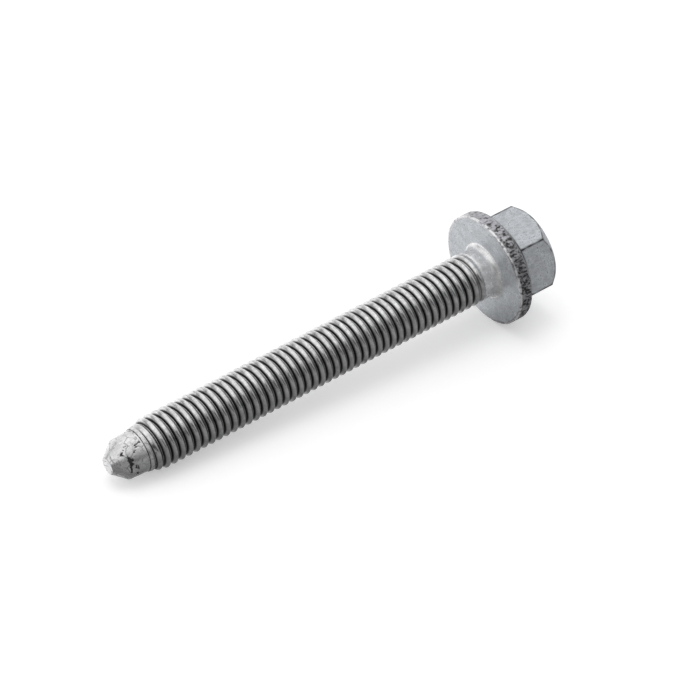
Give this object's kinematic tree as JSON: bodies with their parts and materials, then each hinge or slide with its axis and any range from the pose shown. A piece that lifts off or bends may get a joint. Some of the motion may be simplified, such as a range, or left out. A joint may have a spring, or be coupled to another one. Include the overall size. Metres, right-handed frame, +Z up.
{
  "type": "flange bolt",
  "caption": "Hex flange bolt, lying on its side, with a full-length metric right-hand thread, a smooth pilot and a conical point.",
  "frame": {"origin": "middle of the lying bolt's outline on the floor: the bottom centre of its box", "axes": "+Z up; +X runs along the bolt from its head to its point, whose axis slopes down by 4.7 degrees because the wide flange lifts the head end; +Y across the bolt"},
  "size_m": [0.0742, 0.0172, 0.0173],
  "materials": {
    "plated_steel": "satin zinc plating over steel, brighter on the rolled thread, the fillet and the point, scuffed on the flange's rim"
  },
  "bodies": {
    "root": {"flange_bolt": "plated_steel"}
  },
  "joints": []
}
